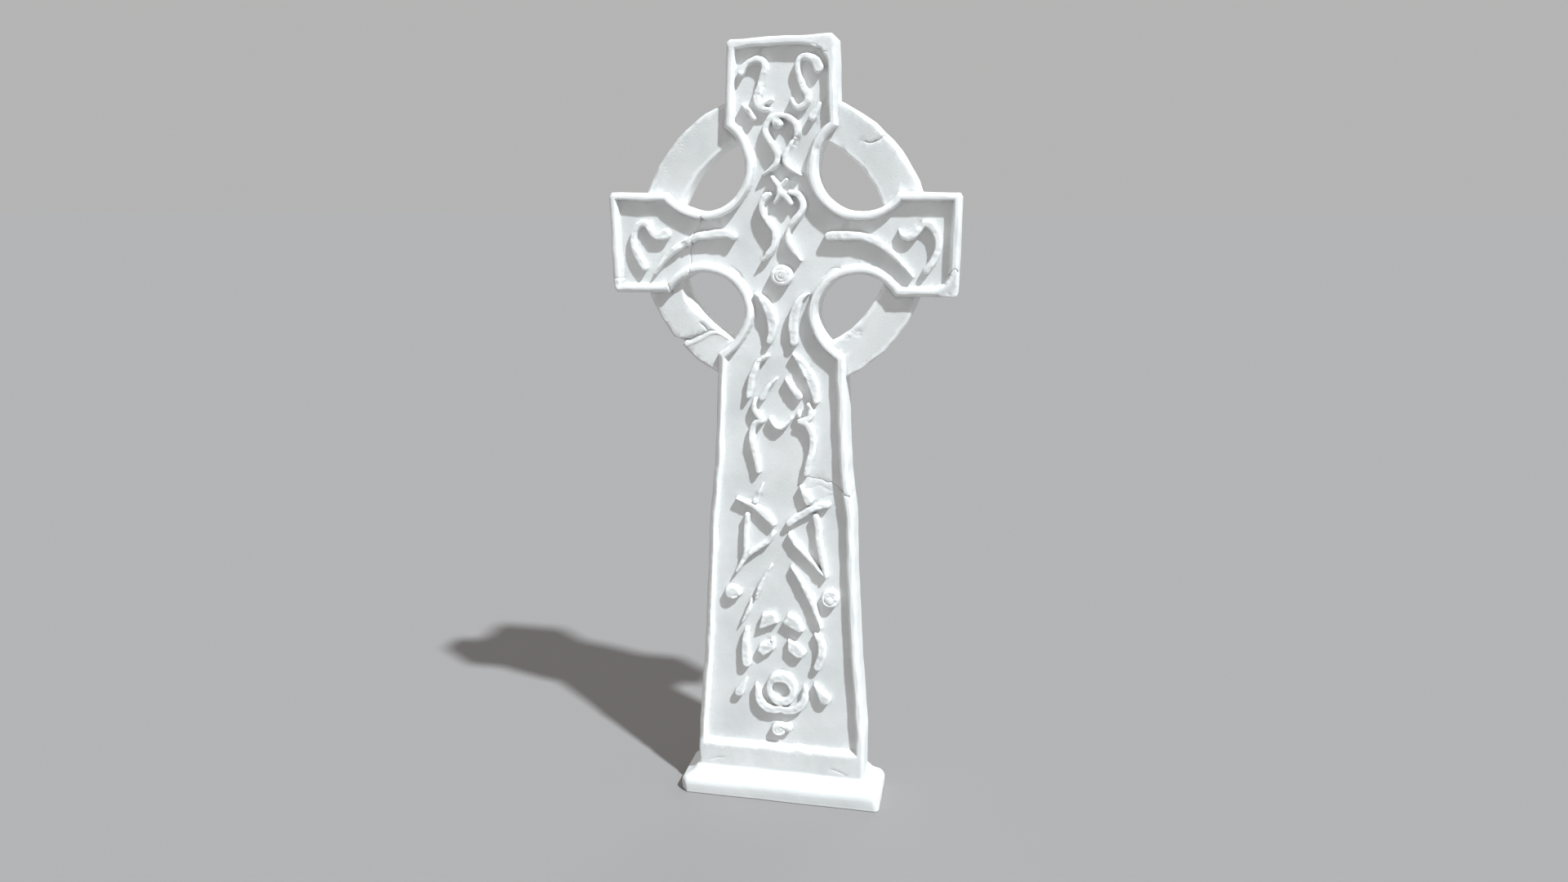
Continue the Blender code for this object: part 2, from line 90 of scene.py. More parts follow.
def distanceToLine(x, z, line, halfWidths=None):  # to an open line, less its half width there
    best = np.full(x.shape, 999.0, np.float32)
    for i in range(len(line) - 1):
        (ax, az), (bx, bz) = line[i], line[i + 1]
        dx, dz = bx - ax, bz - az
        t = np.clip(((x - ax) * dx + (z - az) * dz) / (dx * dx + dz * dz), 0, 1)
        far = np.hypot(x - ax - t * dx, z - az - t * dz)
        if halfWidths is not None:
            far = far - (halfWidths[i] + t * (halfWidths[i + 1] - halfWidths[i]))
        best = np.minimum(best, far)
    return best


def distanceToShape(x, z, corners):  # to a closed shape, below zero inside it
    edge = distanceToLine(x, z, list(corners) + [corners[0]])
    inside = np.zeros(x.shape, bool)
    for (ax, az), (bx, bz) in zip(corners, list(corners[1:]) + [corners[0]]):
        if az == bz:
            continue
        crosses = (az > z) != (bz > z)
        inside ^= crosses & (x < ax + (z - az) * (bx - ax) / (bz - az))
    return np.where(inside, -edge, edge)


def windowAround(x, z, points, margin):  # the part of a front-view grid that lies round some points
    low = np.min(points, axis=0) - margin
    high = np.max(points, axis=0) + margin
    i = np.searchsorted(x[:, 0], [low[0], high[0]])
    k = np.searchsorted(z[0], [low[1], high[1]])
    return np.s_[i[0]:i[1], k[0]:k[1]]


def readField(field, low, cell, points):  # the field's value at points between its grid places
    place = np.clip((points - low) / cell, 0, np.array(field.shape) - 1.001)
    base = place.astype(int)
    part = place - base
    total = 0
    for i in (0, 1):
        for j in (0, 1):
            for k in (0, 1):
                share = np.abs(1 - i - part[:, 0]) * np.abs(1 - j - part[:, 1]) * np.abs(1 - k - part[:, 2])
                total = total + share * field[base[:, 0] + i, base[:, 1] + j, base[:, 2] + k]
    return total


def planeThrough(a, b, c, inside):  # distance function of a flat break, above zero on the side that is lost
    a, b, c = np.array(a, float), np.array(b, float), np.array(c, float)
    normal = np.cross(b - a, c - a)
    normal = normal / np.linalg.norm(normal)
    if normal @ (np.array(inside) - a) > 0:
        normal = -normal
    return lambda x, y, z: (x - a[0]) * normal[0] + (y - a[1]) * normal[1] + (z - a[2]) * normal[2]


def meshFromField(name, field, low, cell, mostFaces):  # the surface where the field is zero, thinned
    band = 4 * cell
    grid = openvdb.FloatGrid(background=band)
    grid.copyFromArray(np.clip(field, -band, band).astype(np.float32))
    points, triangles, quads = grid.convertToPolygons(isovalue=0.0, adaptivity=0.0)
    points = (points * cell + np.array(low)) * mm
    mesh = bpy.data.meshes.new(name)
    faces = np.vstack([quads, np.column_stack([triangles, triangles[:, :1]])]) if len(triangles) else quads
    mesh.vertices.add(len(points))
    mesh.vertices.foreach_set("co", points.astype(np.float32).ravel())
    mesh.loops.add(faces.size)
    mesh.loops.foreach_set("vertex_index", faces.astype(np.int32).ravel())
    mesh.polygons.add(len(faces))
    mesh.polygons.foreach_set("loop_start", np.arange(0, faces.size, 4, dtype=np.int32))
    mesh.update(calc_edges=True)
    mesh.validate()
    piece = bpy.data.objects.new(name, mesh)
    bpy.context.scene.collection.objects.link(piece)
    thin = piece.modifiers.new("thin", 'DECIMATE')
    thin.ratio = min(1.0, mostFaces / (2 * len(faces)))
    return piece


def applyModifiers(piece):
    bpy.context.view_layer.update()
    made = bpy.data.meshes.new_from_object(piece.evaluated_get(bpy.context.evaluated_depsgraph_get()))
    piece.modifiers.clear()
    old = piece.data
    piece.data = made
    bpy.data.meshes.remove(old)


# Thinning leaves a folded face or a leaning corner here and there, and these are eased flat again
easing = {
    "rounds": 4,
    "flat": 0.985,               # length of the neighbours' mean normal, 1 when they all face one way
    "leaning": 0.965,            # a corner's normal agrees less than this with its neighbours'
    "folded": -0.2,              # two faces at an edge agree less than this
    "factor": 0.5,
}


def isStray(corner):  # leans away from the flat that its neighbours lie in
    neighbours = [edge.other_vert(corner).normal for edge in corner.link_edges]
    around = sum(neighbours, Vector()) / len(neighbours)
    return around.length > easing["flat"] and corner.normal.dot(around) < easing["leaning"]


def easeStrays(piece):
    mesh = bmesh.new()
    mesh.from_mesh(piece.data)
    for _ in range(easing["rounds"]):
        mesh.normal_update()
        strays = {corner for corner in mesh.verts if isStray(corner)}
        for edge in mesh.edges:
            if edge.link_faces[0].normal.dot(edge.link_faces[1].normal) < easing["folded"]:
                strays.update(edge.verts)
        corners = sorted(strays, key=lambda corner: corner.index)
        bmesh.ops.smooth_vert(mesh, verts=corners, factor=easing["factor"],
                              use_axis_x=True, use_axis_y=True, use_axis_z=True)
    mesh.to_mesh(piece.data)
    mesh.free()


# the hollow mask feeds the finish's dust and painted shade, the edge and proud masks its rubbed pale and
# painted highlight
def markHollowsAndEdges(piece, field, low, cell):  # notes hollows, sharp edges and proud parts on the mesh's points
    mesh = piece.data
    count = len(mesh.vertices)
    points, normals = np.empty(count * 3), np.empty(count * 3)
    mesh.vertices.foreach_get("co", points)
    mesh.vertices.foreach_get("normal", normals)
    points, normals = points.reshape(-1, 3) / mm, normals.reshape(-1, 3)
    outward, inward, deeper = 5.0, 3.0, 8.0  # how far off the field is read, in millimetres
    hollow = 1 - readField(field, low, cell, points + outward * normals) / outward
    edge = 1 + readField(field, low, cell, points - inward * normals) / inward
    proud = 1 + readField(field, low, cell, points - deeper * normals) / deeper
    for name, values in (("hollow", hollow), ("edge", edge), ("proud", proud)):
        mark = mesh.attributes.new(name, 'FLOAT', 'POINT')
        mark.data.foreach_set("value", np.clip(values, 0, 1).astype(np.float32))


gridMargin = 6  # the grid goes this far past the stone

# The cross: outline as in the frame's stone, sizes in millimetres from the middle line and the ground
cross = {
    "cell": 1.4,                 # grid the surface is shaped on
    "mostFaces": 190000,
    "thickness": 78,
    "foot": 50.3,
    "footSink": 3,               # the foot beds this far into the plinth's seat, so no gap shows
    "footFlare": 6.6,
    "flareHeight": 11,
    "ringHeight": 1130,
    "allowance": 0.3,            # the faces start this far in, which leaves room for their swell
    "edgeRound": 3.0,
    "edgeBevel": 5,
    "bevelRound": 1.5,
    "bevelSlant": 0.707,         # makes the distance to a bevel at 45 degrees true
    "leftShaftBevel": 9.5,       # the left side of the shaft is bevelled wider, between these heights
    "leftShaftFrom": 104,
    "leftShaftTo": 925,
    "bevelFade": 12,
    "headTopBevel": 3,           # and the top of the head narrower
    "headTopFrom": 1478,
    "headTopFade": 6,
    "rimWidth": 12.5,
    "panelSlope": 5.5,
    "squareSlope": 1.5,          # walls that face down were cut nearly square
    "wallSlant": 0.93,           # makes the distance to the leaning walls about true
    "panelDepth": 15,
    "backPanelDepth": 10,
    "panelCorner": 3,
    "crestRound": 1.0,
    "floorRound": 0.6,
    "sill": 105,
    "sillSlope": 8,
    "sillSlant": 0.71,           # the same for the sill, a little short, which softens its corner
    "crossingDip": 3.5,          # the panel of the crossing lies this much deeper than the shaft's
    "dipFrom": 921,              # it sinks between these heights, and fades out again above and sideways
    "dipTo": 970,
    "dipTop": 1330,
    "dipHalfWidth": 200,
    "dipFade": 60,
    "reliefHeight": 13.5,
    "reliefWorn": 1.2,           # the carving has lost this much of its height
    "strandWorn": 0.8,           # and this much at each side
    "strandRound": 2.4,
    "strandLean": 0.08,          # strands widen by this share of the depth below their tops
    "strandDepth": 14,
    "strandFoot": 1.2,
    "ringInner": 203,
    "ringOuter": 277,
    "ringThickness": 45,
    "ringFacets": 26,
    "ringRound": 4,
    "ringSeam": 0.8,
    "breakRound": 0.8,
    "wearReach": 8,              # the front's wear stops this far behind the middle of the thickness
}

# Half widths of the shaft: height, left, right
shaftWidths = [
    (50, 174, 174), (100, 174, 173), (150, 173, 173), (200, 168, 169), (250, 165, 166), (300, 160, 161),
    (350, 156, 157), (400, 154, 154), (450, 152, 152), (500, 149, 149), (560, 146, 147), (610, 143, 145),
    (650, 138, 139), (700, 132, 133), (760, 130, 130), (820, 127, 128), (880, 124, 125), (925, 122, 123),
]


def bend(a, b, c, count):  # points after a on a curve that leaves towards b and ends at c
    t = (np.arange(1, count + 1) / count)[:, None]
    return list(map(tuple, (1 - t) ** 2 * np.array(a) + 2 * t * (1 - t) * np.array(b) + t ** 2 * np.array(c)))


def ovalArc(cx, cz, across, up, first, last, count):
    angles = np.radians(np.linspace(first, last, count + 1)[1:])
    return [(cx + across * math.cos(a), cz + up * math.sin(a)) for a in angles]


def halfOutline(side):  # one side from the foot up to the head, in millimetres
    ring = cross["ringHeight"]
    column = 2 if side > 0 else 1
    points = [(row[column], max(row[0], cross["foot"])) for row in shaftWidths]
    points += bend(points[-1], (69, ring - 171), (69, ring - 125), 8)  # lower armpit
    points += ovalArc(148, ring - 125, 79, 72, 180, 90, 14)
    points += bend(points[-1], (190, ring - 53), (216, ring - 91), 6)
    points += [(324, ring - 92), (328, ring - 88), (331, ring + 87), (326, ring + 95)]  # end of the arm
    points += [(216, ring + 95)] + bend((216, ring + 95), (190, ring + 60.5), (148, ring + 60.5), 6)
    points += ovalArc(148, ring + 138, 81.5, 77.5, 270, 180, 14)  # upper armpit
    points += bend(points[-1], (66.5, ring + 185), (105, ring + 212), 8)
    top = 1500 if side > 0 else 1494  # the head stands a little higher on the right
    points += [(99, top - 6), (93, top - 0.5)]
    return [(side * px, pz) for px, pz in points]


# Raised strands, in millimetres: x out from the middle line, z from the ground, then widths along the line.
# Left and right differ as far as they have worn differently.
strandPairs = {
    "crook": (
        ([(72, 1437), (68, 1445), (60, 1452), (46, 1459), (33, 1456), (29, 1444), (35, 1425), (40, 1407),
          (44, 1392), (41, 1380), (33, 1373), (22, 1372)], [13, 11, 11, 12, 12, 11, 10, 12, 14, 13, 7]),
        ([(69, 1443), (62, 1456), (46, 1462), (35, 1458), (31, 1445), (34, 1427), (41, 1410), (49, 1397),
          (50, 1386), (42, 1378), (32, 1375), (24, 1381), (21, 1389)],
         [20, 15, 11, 10, 10, 10, 12, 13, 12, 10, 7])),
    "tick": (
        ([(70, 1380), (60, 1370), (49, 1357)], [7, 11, 9]),
        ([(72, 1381), (67, 1370), (59, 1358)], [6, 10, 15])),
    "loop": (
        ([(0, 1361), (14, 1358), (23, 1350), (28, 1338), (26, 1328), (18, 1315), (10, 1302), (5, 1290),
          (7, 1278), (18, 1267), (36, 1256)], [11, 12, 12, 12, 12, 12, 8, 2]),
        ([(0, 1361), (14, 1358), (26, 1349), (31, 1337), (29, 1325), (20, 1311), (12, 1298), (8, 1284),
          (12, 1274), (22, 1266), (39, 1256)], [11, 12, 12, 9, 9, 11, 8, 2])),
    "knotLoop": (
        ([(27, 1219), (34, 1208), (36, 1197), (31, 1184), (20, 1169), (11, 1155), (10, 1141), (14, 1125),
          (25, 1112), (37, 1100)], [14, 11, 11, 12, 12, 12, 11, 2]),
        ([(18, 1226), (31, 1222), (40, 1212), (42, 1200), (37, 1188), (27, 1177), (17, 1163), (14, 1150),
          (15, 1136), (25, 1120), (39, 1102)], [10, 12, 12, 12, 8, 11, 11, 2])),
    "petal": (
        ([(50, 1040), (36, 1030), (23, 1010), (16, 985), (17, 965), (22, 950)], [3, 14, 19, 20, 16, 12]),
        ([(52, 1040), (37, 1028), (28, 1005), (24, 980), (26, 950)], [4, 16, 20, 18, 16])),
    "armHook": (
        ([(223, 1149), (238, 1145), (248, 1150), (257, 1164), (267, 1169), (279, 1161), (286, 1142),
          (285, 1122), (277, 1104), (266, 1086)], [20, 13, 12, 13, 12, 12, 13, 13]),
        ([(219, 1160), (224, 1150), (234, 1146), (244, 1148), (254, 1158), (265, 1170), (277, 1166),
          (288, 1150), (291, 1130), (284, 1106), (271, 1087)], [3, 13, 13, 14, 14, 13, 13, 13])),
    "armBar": (
        ([(91, 1145), (102, 1150), (122, 1150), (142, 1147), (162, 1145), (175, 1137), (195, 1127),
          (212, 1115), (230, 1097), (246, 1075)], [13, 16, 15, 12, 14, 12, 9, 3]),
        ([(90, 1147), (105, 1148), (120, 1148), (147, 1147), (167, 1142), (190, 1130), (212, 1112),
          (232, 1092), (247, 1075)], [15, 16, 14, 13, 12, 8, 4])),
    "outerLeaf": (
        ([(26, 922), (42, 910), (50, 895), (57, 877), (60, 860), (64, 842)], [6, 12, 13, 13, 9]),
        ([(25, 926), (40, 909), (51, 893), (60, 875), (66, 857), (69, 837)], [6, 15, 20, 19, 11])),
    "innerLeaf": (
        ([(9, 878), (25, 860), (36, 841)], [4, 9, 12]),
        ([(10, 878), (22, 862), (36, 845)], [5, 11, 13])),
    "knuckle": (
        ([(50, 836), (53, 820), (46, 807), (36, 797)], [7, 10, 10, 11]),
        ([(54, 829), (60, 814), (54, 802), (40, 797)], [9, 12, 12, 11])),
    "smile": (
        ([(21, 801), (14, 789), (6, 783), (-2, 782)], [5, 6, 7, 7]),
        ([(21, 802), (14, 792), (6, 785), (-2, 782)], [5, 6, 7, 7])),
    "longBar": (
        ([(36, 796), (50, 790), (56, 775), (57, 755), (53, 735), (48, 715), (45, 694)],
         [11, 12, 12, 11, 10]),
        ([(38, 797), (52, 791), (61, 773), (62, 752), (60, 732), (54, 712), (50, 693)],
         [12, 13, 12, 12, 10])),
    "triangleBar": (
        ([(88, 637), (66, 628), (50, 620), (31, 606), (15, 588)], [5, 9, 12, 14, 10]),
        ([(94, 633), (67, 627), (47, 613), (30, 602), (17, 591)], [11, 14, 14, 14, 13])),
    "triangleSpur": (
        ([(36, 668), (45, 648), (52, 632)], [3, 7, 11]),
        ([(40, 667), (49, 651), (56, 638)], [7, 12, 17])),
    "triangleUpright": (
        ([(67, 604), (70, 575), (71, 545), (74, 518), (90, 485)], [10, 10, 9, 8, 5]),
        ([(70, 608), (74, 587), (76, 560), (81, 530), (91, 486)], [13, 12, 12, 12, 8])),
    "triangleBrace": (
        ([(15, 568), (25, 552), (45, 537), (65, 521), (89, 486)], [9, 10, 9, 7, 4]),
        ([(19, 568), (30, 550), (47, 532), (65, 512), (86, 489)], [10, 10, 9, 8, 6])),
    "longLeaf": (
        ([(19, 501), (30, 482), (42, 457), (52, 429)], [4, 8, 10, 5]),
        ([(21, 502), (40, 475), (52, 452), (65, 427), (73, 404), (82, 375)], [3, 9, 11, 12, 9, 3])),
    "shortBar": (
        ([(70, 361), (73, 340), (73, 312), (71, 289)], [9, 14, 18, 18]),
        ([(72, 361), (83, 342), (84, 318), (76, 293)], [9, 15, 17, 17])),
    "cup": (
        ([(51, 243), (48, 222), (42, 206), (29, 194), (14, 191), (0, 194)], [5, 13, 17, 18, 17]),
        ([(50, 245), (50, 222), (43, 206), (29, 194), (14, 191), (0, 194)], [7, 15, 18, 18, 17])),
    "drop": (
        ([(73, 251), (81, 235), (87, 223)], [4, 12, 19]),
        ([(70, 254), (80, 238), (91, 223)], [4, 12, 24])),
}

# Pieces of strand on one side only
strandSingles = {
    "leftLeafTail": ([(-60, 427), (-65, 407), (-80, 376)], [5, 10, 3]),
    "rightKnuckleChip": ([(36, 812), (36, 807)], [8, 8]),
    "leftKnotBlob": ([(-21, 1221), (-30, 1217)], [10, 13]),
    "knotSlash": ([(-16, 1253), (-10, 1245), (-2, 1236), (-1, 1226), (5, 1222), (12, 1217), (20, 1206)],
                  [7, 9, 10, 11, 12, 12, 9]),
    "knotLeg": ([(-2, 1222), (-7, 1214), (-12, 1207)], [9, 7, 5]),
    "knotSpur": ([(11, 1248), (5, 1243), (0, 1237)], [6, 7, 7]),
    "leftCrookSpur": ([(-36, 1378), (-28, 1384), (-16, 1389)], [9, 8, 5]),
}

# Flat-topped blocks, with softened corners
blocks = {
    "upperLeft": [(-4, 382), (-14, 402), (-38, 397), (-45, 365)],
    "upperRight": [(4, 382), (14, 402), (35, 395), (49, 367), (40, 364)],
    "lowerLeft": [(-12, 325), (-13, 347), (-44, 330), (-48, 317), (-36, 308)],
    "lowerRight": [(14, 324), (14, 347), (36, 337), (52, 320), (45, 310), (34, 309)],
}

# Round bosses like thick worn coins: middle, half width, half height, how far the middle swells
bosses = {
    "loopBoss": (-5, 1348, 11, 10, 1.0),
    "centreBoss": (2, 1074, 21, 19, 1.5),
    "leftDisc": (-98, 440, 17, 14, 0.5),
    "rightDisc": (100, 440, 18, 18, 1.0),
    "footBoss": (-4, 148, 15, 15, 1.0),
    "footLobe": (15, 152, 9, 8, 0.0),
}

# The egg-shaped eye in its cup, with a round hole
eye = {
    "middle": (2, 238),
    "across": 32,
    "up": 38,
    "hole": (0, 235),
    "holeRadius": 18,
}

# How the carving is laid out
laying = {
    "farthest": 30.0,            # distances are cut off here
    "strandMargin": 26,          # and looked for no further round a strand or a boss than this
    "bossMargin": 20,
    "step": 3.0,
    "blockTuck": 0.86,           # a block is drawn in by this share and then rounded out again
    "blockRound": 2.5,
}


def carvedStrands(x, z):  # distance to the nearest strand, boss, block or eye, and how far bosses swell
    best = np.full(x.shape, laying["farthest"], np.float32)
    swelling = np.zeros(x.shape, np.float32)

    def lay(points, widths):
        line = curveThrough(points, laying["step"])
        places = np.linspace(0, 1, len(widths))
        half = np.interp(np.linspace(0, 1, len(line)), places, widths) / 2
        part = windowAround(x, z, line, laying["strandMargin"])
        best[part] = np.minimum(best[part], distanceToLine(x[part], z[part], line, half))

    for left, right in strandPairs.values():
        for sign, (points, widths) in ((-1, left), (1, right)):
            lay([(sign * px, pz) for px, pz in points], widths)
    for points, widths in strandSingles.values():
        lay(points, widths)
    for corners in blocks.values():
        part = windowAround(x, z, corners, laying["strandMargin"])
        middle = np.mean(corners, axis=0)
        tucked = [tuple(middle + laying["blockTuck"] * (np.array(c) - middle)) for c in corners]
        block = distanceToShape(x[part], z[part], tucked) - laying["blockRound"]
        best[part] = np.minimum(best[part], block)
    ex, ez = eye["middle"]
    part = windowAround(x, z, [(ex - 40, ez - 45), (ex + 40, ez + 45)], laying["bossMargin"])
    egg = (np.hypot((x[part] - ex) / eye["across"], (z[part] - ez) / eye["up"]) - 1) * eye["across"]
    hole = eye["holeRadius"] - np.hypot(x[part] - eye["hole"][0], z[part] - eye["hole"][1])
    best[part] = np.minimum(best[part], np.maximum(egg, hole))
    for cx, cz, across, up, swell in bosses.values():
        part = windowAround(x, z, [(cx - across, cz - up), (cx + across, cz + up)], laying["bossMargin"])
        reach = np.hypot((x[part] - cx) / across, (z[part] - cz) / up)
        best[part] = np.minimum(best[part], (reach - 1) * min(across, up))
        swelling[part] = np.maximum(swelling[part], swell * (1 - reach ** 2))
    return best, swelling


# Cracks: line, half widths along it, depth
cracks = {
    "arm": ([(-148, 1192), (-153, 1178), (-160, 1162), (-168, 1147), (-175, 1120), (-176, 1097),
             (-176, 1064)],
            [3.0, 1.6, 1.6, 2.4, 1.2, 1.2, 2.6], 3.4),
    "shaft": ([(48, 686), (80, 682), (90, 677), (105, 675), (120, 662), (130, 655), (140, 650), (154, 630)],
              [1.0, 1.3, 1.6, 1.8, 2.2, 3.0, 4.6], 4.6),
    "shaftBranch": ([(42, 665), (55, 663), (75, 670), (90, 664), (102, 659)], [1.2, 1.0, 0.8], 1.2),
    "shaftHair": ([(80, 645), (98, 650), (117, 653)], [0.7, 1.0, 0.7], 0.9),
    "ringUpper": ([(144, 1317), (158, 1313), (172, 1314), (184, 1320), (199, 1331)],
                  [0.6, 2.2, 2.6, 3.0], 3.2),
    "ringLower": ([(-208, 944), (-190, 947), (-172, 953), (-152, 962), (-138, 967), (-124, 967)],
                  [7.5, 5.5, 3.6, 2.6, 1.4], 9.0),
    "ringLowerStep": ([(-160, 981), (-152, 975), (-146, 966)], [1.5, 2.5, 1.5], 2.4),
    "ringUpperEdge": ([(176, 1342), (190, 1333), (197, 1322)], [0.8, 1.4, 0.8], 1.2),
    "ringRightEdge": ([(210, 1306), (226, 1292), (238, 1268)], [0.8, 1.6, 0.8], 1.2),
    "footLeft": ([(-152, 66), (-135, 72), (-118, 75)], [0.8, 1.6, 0.8], 1.0),
    "footRight": ([(104, 73), (122, 68), (140, 60)], [0.8, 1.6, 0.8], 1.0),
    "armpitLeft": ([(-99, 1090), (-88, 1083), (-79, 1073), (-75, 1064)], [0.8, 1.8, 1.2], 1.6),
    "armpitRight": ([(80, 1072), (88, 1081), (99, 1088), (112, 1089)], [1.0, 1.6, 1.0], 1.4),
    "armRim": ([(-330, 1064), (-317, 1066), (-306, 1063)], [1.4, 1.2, 1.0], 1.6),
    "lowerArmRim": ([(-222, 1062), (-218, 1054), (-214, 1040)], [0.8, 1.4, 1.6], 1.8),
    "rightCorner": ([(312, 1079), (318, 1085), (322, 1090), (327, 1083), (326, 1062)],
                    [2.2, 2.0, 1.8, 1.2, 0.8], 2.6),
    "headCorner": ([(52, 1483), (66, 1480), (74, 1470), (84, 1468)], [0.8, 1.6, 1.0], 1.2),
    "leftCrookCut": ([(-47, 1412), (-38, 1413), (-30, 1411)], [0.9, 1.0, 0.9], 1.4),
    "rightCrookCut": ([(33, 1413), (41, 1415), (50, 1412)], [0.9, 1.0, 0.9], 1.4),
}

# Grooves cut round the bosses: boss, size of the groove against it, first and last angle
bossGrooves = [
    ("centreBoss", 0.62, -20, 300), ("centreBoss", 0.28, 60, 330),
    ("rightDisc", 0.66, 30, 350), ("rightDisc", 0.30, -60, 150),
    ("footBoss", 0.55, 150, 420),
    ("loopBoss", 0.55, -60, 200),
]

# Rough worn patches on the front: middle, half width, half height, depth
patches = {
    "knotHollow": (18, 1239, 10, 8, 1.6),
    "loopRight": (28, 1320, 9, 14, 2.0),
    "crookLeftTop": (-50, 1448, 15, 6, 1.6),
    "crookLeftFoot": (-43, 1392, 8, 10, 1.4),
    "crookRightFoot": (46, 1398, 8, 10, 1.3),
    "tickLeft": (-61, 1366, 7, 7, 1.8),
    "loopTop": (2, 1354, 12, 6, 1.6),
    "leafRight": (54, 893, 11, 24, 1.1),
    "leafLeft": (-42, 908, 9, 12, 1.3),
    "leafLowLeft": (-52, 442, 10, 20, 1.4),
    "knuckleRight": (48, 820, 9, 9, 1.4),
    "spurLeft": (-45, 640, 10, 10, 1.4),
    "spurRight": (68, 632, 16, 8, 1.6),
    "discRight": (107, 446, 9, 8, 2.2),
    "discLeft": (-92, 432, 9, 7, 2.0),
    "blockLeft": (-25, 338, 10, 8, 2.4),
    "footBoss": (2, 148, 12, 8, 1.8),
    "ringPit": (142, 970, 15, 10, 1.2),
    "ringPitEdge": (126, 960, 13, 6, 1.4),
    "barLeft": (-186, 1130, 11, 9, 1.5),
    "hookRight": (256, 1169, 9, 7, 1.3),
    "barRight": (120, 1148, 7, 7, 0.9),
    "neckRight": (66, 1302, 7, 9, 1.3),
    "rimCracked": (-176, 1064, 12, 9, 1.8),
    "rimCrackedTop": (-152, 1189, 7, 7, 2.0),
    "armLeftCorner": (-316, 1052, 9, 9, 1.3),
    "eyeTop": (2, 272, 14, 5, 1.3),
    "cupLeft": (-36, 200, 10, 8, 1.3),
    "sillLeft": (-60, 106, 40, 5, 0.8),
    "sillRight": (60, 104, 45, 5, 0.8),
}

# Places where the surface has only turned grainy: middle, half width, half height, depth of the grain
grainy = {
    "ringLow": (-221, 1276, 12, 30, 0.9),
    "ringMiddle": (-193, 1318, 18, 22, 1.1),
    "ringHigh": (-160, 1347, 26, 12, 1.0),
    "ringPit": (142, 970, 22, 12, 1.0),
    "leafRight": (54, 893, 13, 28, 1.0),
    "leafLeft": (-40, 909, 12, 12, 1.0),
    "knotHollow": (18, 1238, 12, 12, 1.2),
    "loopRight": (27, 1320, 9, 18, 1.2),
    "crookLeft": (-48, 1449, 20, 9, 1.1),
    "knuckleRight": (48, 820, 14, 16, 1.0),
}

# Ridges left standing along a break: line, half width, height
lips = [
    ([(-190, 936), (-172, 943), (-152, 953), (-138, 961), (-120, 962), (-105, 953)], 4.0, 1.6),
    ([(-140, 1176), (-150, 1170)], 5.0, 1.0),
    ([(-184, 1068), (-170, 1071)], 6.0, 1.2),
    ([(-166, 1040), (-171, 1062)], 4.0, 0.8),
]

# Corners where the rim was left wider: middle, half width, half height, how much wider
widerRim = {
    "headTopRight": (78, 1478, 26, 17, 11),
    "headTopLeft": (-84, 1480, 12, 12, 3),
    "armLowRight": (308, 1058, 12, 14, 9),
}

# Flat breaks: three points of the face that is left, then the middle and reach of the lost piece
breaks = {
    "rightArmCorner": ([(302, -37, 1050), (313, -39, 1079), (329, -31, 1040)], (318, -39, 1056), 44),
    "leftArmCorner": ([(-331, -30, 1052), (-316, -39, 1036), (-331, -39, 1062)], (-326, -38, 1042), 26),
    "headCorner": ([(86, -39, 1500), (106, -39, 1478), (104, -22, 1500)], (100, -36, 1495), 26),
}

# How cracks, grooves and patches are cut
wearing = {
    "crackMargin": 14,
    "crackStep": 5.0,
    "crackSteepness": 1.5,       # depth gained for each millimetre in from a crack's edge
    "crackRaggedness": 1.0,
    "grooveWidths": [0.6, 1.6, 1.0],   # half widths along it
    "grooveDepth": 1.5,
    "grooveRaggedness": 0.4,
    "patchMargin": 10,
    "patchFade": 1.8,            # how steeply a patch or a grainy place starts at its edge
    "grainMargin": 4,
    "grainFade": 1.5,
    "grainSize": 4.5,            # wavelength, coarser than the grains so that the grid can hold it
}


